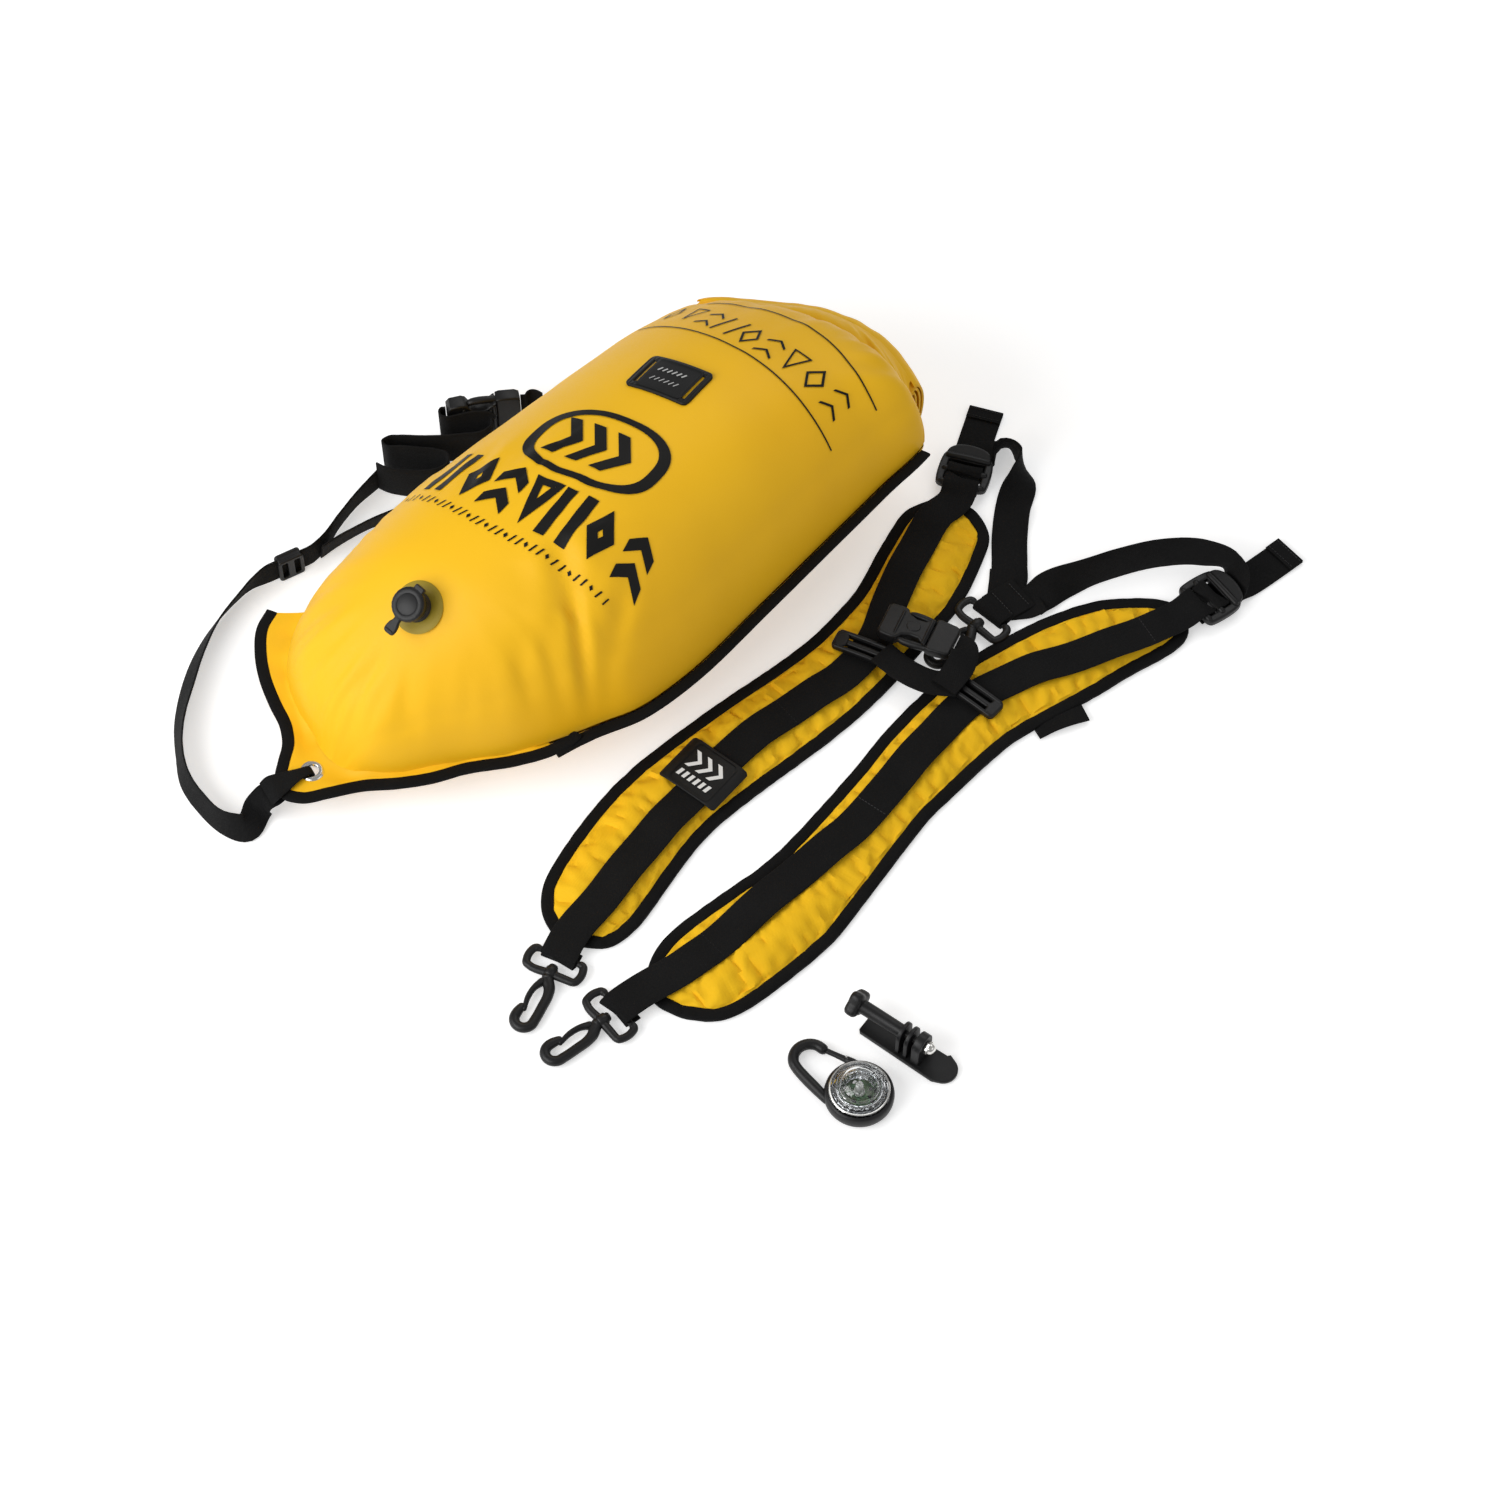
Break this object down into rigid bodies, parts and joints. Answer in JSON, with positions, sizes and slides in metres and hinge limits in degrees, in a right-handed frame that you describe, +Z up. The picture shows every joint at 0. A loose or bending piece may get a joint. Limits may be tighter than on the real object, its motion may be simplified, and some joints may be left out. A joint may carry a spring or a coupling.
{
  "type": "open water swim buoy",
  "caption": "Inflatable dry bag swim buoy with roll top, valve and eyelet leash, laid out with its padded shoulder harness, clip-on safety light and camera mount.",
  "frame": {"origin": "on the floor under the middle of the inflated bag", "axes": "+Y along the bag from its nose to its rolled mouth, +Z up from the floor, +X to the bag's right, towards the harness"},
  "size_m": [0.6184, 0.6723, 0.17],
  "materials": {
    "yellow_coated_fabric": "coated, semi-gloss",
    "black_webbing": "woven, matt",
    "patch_rubber": "moulded, satin",
    "eyelet_metal": "nickel plated, bright",
    "valve_flange_film": "translucent film, glossy",
    "silicone": "soft, matt",
    "pad_fabric": "padded mesh, matt",
    "label_rubber": "moulded, satin",
    "clear_plastic": "clear, moulded",
    "board_green": "circuit board",
    "led_lens": "clear lens",
    "cell_steel": "bright",
    "pin_steel": "bright",
    "nut_steel": "polished",
    "black_plastic": "moulded, satin"
  },
  "bodies": {
    "buoy": {"top_panel": "yellow_coated_fabric", "bottom_panel": "yellow_coated_fabric", "nose_tab": "yellow_coated_fabric", "nose_binding": "black_webbing", "left_binding": "black_webbing", "right_binding": "black_webbing", "roll_top": "yellow_coated_fabric", "lash_patch": "patch_rubber", "eyelet_top": "eyelet_metal", "eyelet_washer": "eyelet_metal", "valve_flange": "valve_flange_film", "valve_body": "black_plastic", "valve_flap": "silicone", "leash_webbing": "black_webbing", "leash_return": "black_webbing", "waist_belt": "black_webbing", "waist_buckle_female": "black_plastic"},
    "valve_cap": {"valve_cap": "black_plastic"},
    "leash_slider": {"leash_slider": "black_plastic"},
    "waist_male": {"waist_buckle_male": "black_plastic", "belt_end": "black_webbing"},
    "harness": {"left_pad": "pad_fabric", "right_pad": "pad_fabric", "left_pad_binding": "black_webbing", "right_pad_binding": "black_webbing", "left_pad_webbing": "black_webbing", "right_pad_webbing": "black_webbing", "pad_label": "label_rubber", "left_ladder_lock": "black_plastic", "right_ladder_lock": "black_plastic", "left_adjuster_strap": "black_webbing", "right_adjuster_strap": "black_webbing", "back_yoke": "black_webbing", "left_sternum_clip": "black_plastic", "right_sternum_clip": "black_plastic", "sternum_strap": "black_webbing", "sternum_buckle_female": "black_plastic", "sternum_tail": "black_webbing"},
    "sternum_male": {"sternum_buckle_male": "black_plastic", "sternum_loop": "black_webbing"},
    "left_ring": {"left_hook_ring": "black_plastic"},
    "left_hook": {"left_hook": "black_plastic"},
    "left_gate": {"left_hook_gate": "black_plastic"},
    "right_ring": {"right_hook_ring": "black_plastic"},
    "right_hook": {"right_hook": "black_plastic"},
    "right_gate": {"right_hook_gate": "black_plastic"},
    "back_ring": {"back_hook_ring": "black_plastic"},
    "back_hook": {"back_hook": "black_plastic"},
    "back_gate": {"back_hook_gate": "black_plastic"},
    "light": {"light_body": "black_plastic", "light_gate_pin": "pin_steel", "light_board": "board_green", "light_lamp": "led_lens", "coin_cell": "cell_steel"},
    "light_dome": {"light_dome": "clear_plastic"},
    "light_gate": {"light_gate": "black_plastic"},
    "battery_cover": {"battery_cover": "black_plastic"},
    "camera_mount": {"mount_base": "black_plastic", "acorn_nut": "nut_steel"},
    "thumb_screw": {"thumb_screw": "black_plastic"}
  },
  "joints": [
    {"name": "harness_lift", "type": "slide", "parent": "buoy", "child": "harness", "axis": [0, 0, 1], "range_m": [0, 0.03]},
    {"name": "light_lift", "type": "slide", "parent": "buoy", "child": "light", "axis": [0, 0, 1], "range_m": [0, 0.06]},
    {"name": "camera_mount_lift", "type": "slide", "parent": "buoy", "child": "camera_mount", "axis": [0, 0, 1], "range_m": [0, 0.06]},
    {"name": "valve_cap_hinge", "type": "hinge", "parent": "buoy", "child": "valve_cap", "pos_m": [-0.00161, -0.12748, 0.14569], "axis": [-0.9969, -0.0226, 0.0759], "range_deg": [0, 120]},
    {"name": "leash_slider_slide", "type": "slide", "parent": "buoy", "child": "leash_slider", "axis": [0.2788, 0.9603, 0], "range_m": [-0.004, 0.004]},
    {"name": "waist_buckle_release", "type": "slide", "parent": "buoy", "child": "waist_male", "axis": [0.5664, 0.8241, 0], "range_m": [0, 0.006]},
    {"name": "sternum_buckle_release", "type": "slide", "parent": "harness", "child": "sternum_male", "axis": [0.9361, 0.3518, 0], "range_m": [0, 0.022]},
    {"name": "left_hook_tilt", "type": "hinge", "parent": "harness", "child": "left_ring", "pos_m": [0.194, -0.202, 0.00418], "axis": [-0.9455, -0.3256, 0], "range_deg": [0, 80]},
    {"name": "left_hook_swivel", "type": "hinge", "parent": "left_ring", "child": "left_hook", "pos_m": [0.19823, -0.21429, 0.00418], "axis": [0.3256, -0.9455, 0], "continuous": true},
    {"name": "left_hook_gate_hinge", "type": "hinge", "parent": "left_hook", "child": "left_gate", "pos_m": [0.19896, -0.22414, 0.00418], "axis": [0, 0, 1], "range_deg": [0, 10], "stiffness_Nm_per_rad": 0.01, "springref_deg": -20.05},
    {"name": "right_hook_tilt", "type": "hinge", "parent": "harness", "child": "right_ring", "pos_m": [0.249, -0.203, 0.00418], "axis": [-0.9903, 0.1392, 0], "range_deg": [0, 80]},
    {"name": "right_hook_swivel", "type": "hinge", "parent": "right_ring", "child": "right_hook", "pos_m": [0.24719, -0.21587, 0.00418], "axis": [-0.1392, -0.9903, 0], "continuous": true},
    {"name": "right_hook_gate_hinge", "type": "hinge", "parent": "right_hook", "child": "right_gate", "pos_m": [0.24337, -0.22498, 0.00418], "axis": [0, 0, 1], "range_deg": [0, 10], "stiffness_Nm_per_rad": 0.01, "springref_deg": -20.05},
    {"name": "back_hook_tilt", "type": "hinge", "parent": "harness", "child": "back_ring", "pos_m": [0.213, 0.192, 0.00418], "axis": [-0.9994, 0.0349, 0], "range_deg": [0, 6]},
    {"name": "back_hook_swivel", "type": "hinge", "parent": "back_ring", "child": "back_hook", "pos_m": [0.21255, 0.17901, 0.00418], "axis": [-0.0349, -0.9994, 0], "continuous": true},
    {"name": "back_hook_gate_hinge", "type": "hinge", "parent": "back_hook", "child": "back_gate", "pos_m": [0.20969, 0.16955, 0.00418], "axis": [0, 0, 1], "range_deg": [0, 10], "stiffness_Nm_per_rad": 0.01, "springref_deg": -20.05},
    {"name": "light_dome_press", "type": "slide", "parent": "light", "child": "light_dome", "axis": [0, 0, 1], "range_m": [-0.0006, 0], "stiffness_N_per_m": 800, "springref_m": 0.0004},
    {"name": "light_gate_hinge", "type": "hinge", "parent": "light", "child": "light_gate", "pos_m": [0.37863, -0.12792, 0.0036], "axis": [0, 0, 1], "range_deg": [0, 22], "stiffness_Nm_per_rad": 0.01, "springref_deg": -20.05},
    {"name": "battery_cover_turn", "type": "hinge", "parent": "light", "child": "battery_cover", "pos_m": [0.402, -0.141, 0.001], "axis": [0, 0, 1], "range_deg": [0, 60]},
    {"name": "thumb_screw_turn", "type": "hinge", "parent": "camera_mount", "child": "thumb_screw", "pos_m": [0.368, -0.098, 0.0175], "axis": [0.9903, 0.1392, 0], "continuous": true}
  ]
}
